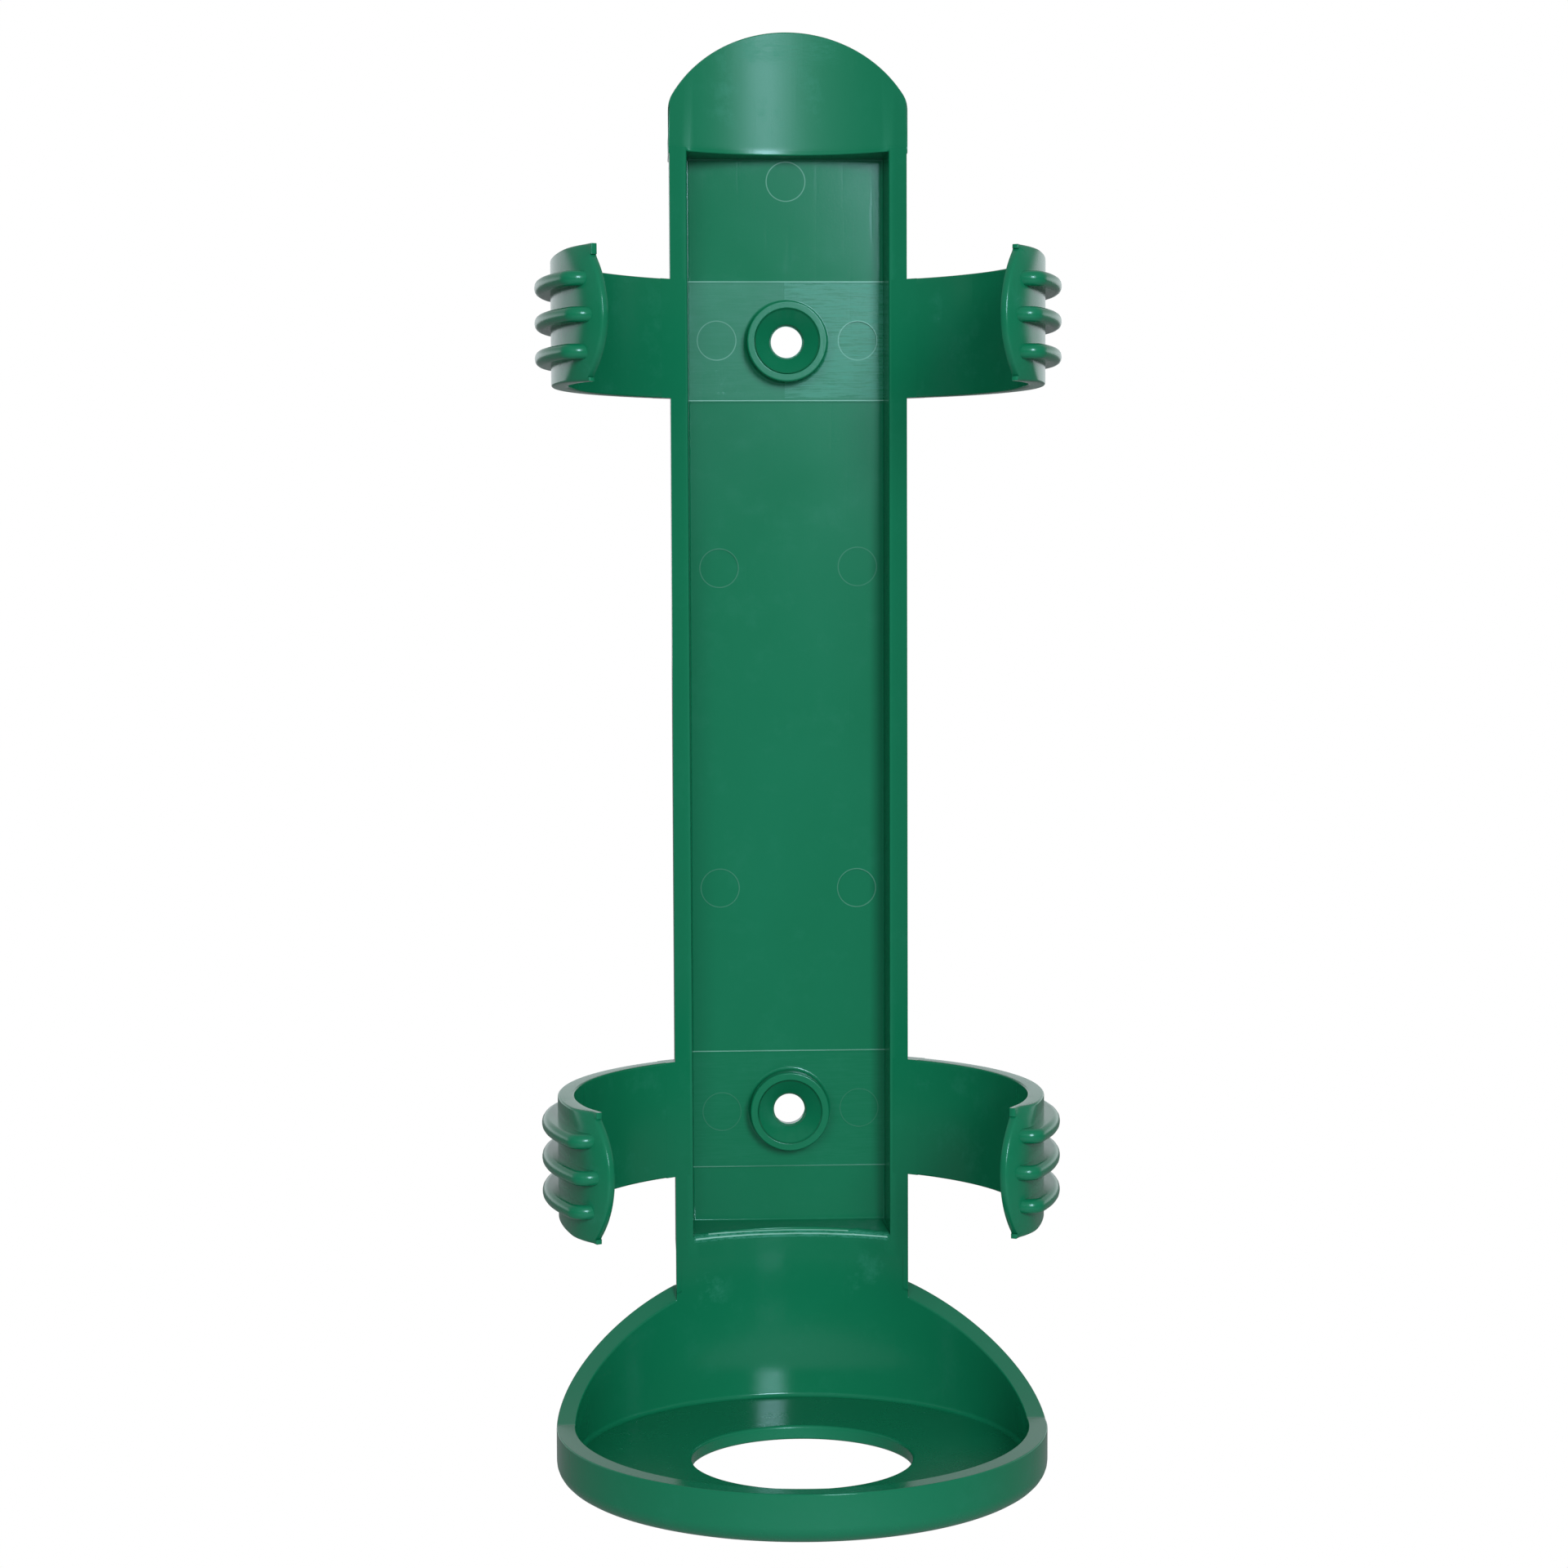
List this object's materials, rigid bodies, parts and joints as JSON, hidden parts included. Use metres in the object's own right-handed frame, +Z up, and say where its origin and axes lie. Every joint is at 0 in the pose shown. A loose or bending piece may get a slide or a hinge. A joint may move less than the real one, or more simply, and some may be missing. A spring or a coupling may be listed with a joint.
{
  "type": "feeder bottle bracket",
  "caption": "Screw-on plastic bracket with springy clip arms and an open-bottomed cup that holds an upright feeder bottle on a wall, post or tree.",
  "frame": {"origin": "on the flat rear mounting face, midway between the two screw holes", "axes": "+X to the viewer's right, +Y into the wall, +Z up; the bottle stands in front, towards -Y"},
  "size_m": [0.0752, 0.075, 0.2144],
  "materials": {
    "green_plastic": "semi-gloss moulded, lightly scuffed"
  },
  "bodies": {
    "bracket": {"back_plate": "green_plastic", "left_rail": "green_plastic", "right_rail": "green_plastic", "top_guard": "green_plastic", "lower_neck": "green_plastic", "upper_screw_boss": "green_plastic", "lower_screw_boss": "green_plastic", "cup_floor": "green_plastic", "cup_wall": "green_plastic"},
    "upper_left_clip": {"upper_left_arm": "green_plastic", "upper_left_rib_top": "green_plastic", "upper_left_rib_middle": "green_plastic", "upper_left_rib_bottom": "green_plastic"},
    "upper_right_clip": {"upper_right_arm": "green_plastic", "upper_right_rib_top": "green_plastic", "upper_right_rib_middle": "green_plastic", "upper_right_rib_bottom": "green_plastic"},
    "lower_left_clip": {"lower_left_arm": "green_plastic", "lower_left_rib_top": "green_plastic", "lower_left_rib_middle": "green_plastic", "lower_left_rib_bottom": "green_plastic"},
    "lower_right_clip": {"lower_right_arm": "green_plastic", "lower_right_rib_top": "green_plastic", "lower_right_rib_middle": "green_plastic", "lower_right_rib_bottom": "green_plastic"}
  },
  "joints": [
    {"name": "upper_left_flex", "type": "hinge", "parent": "bracket", "child": "upper_left_clip", "pos_m": [-0.01845, -0.01021, 0.06], "axis": [0, 0, -1], "range_deg": [0, 8], "stiffness_Nm_per_rad": 1.2},
    {"name": "upper_right_flex", "type": "hinge", "parent": "bracket", "child": "upper_right_clip", "pos_m": [0.01845, -0.01021, 0.06], "axis": [0, 0, 1], "range_deg": [0, 8], "stiffness_Nm_per_rad": 1.2},
    {"name": "lower_left_flex", "type": "hinge", "parent": "bracket", "child": "lower_left_clip", "pos_m": [-0.01845, -0.01021, -0.06], "axis": [0, 0, -1], "range_deg": [0, 8], "stiffness_Nm_per_rad": 1.2},
    {"name": "lower_right_flex", "type": "hinge", "parent": "bracket", "child": "lower_right_clip", "pos_m": [0.01845, -0.01021, -0.06], "axis": [0, 0, 1], "range_deg": [0, 8], "stiffness_Nm_per_rad": 1.2}
  ]
}
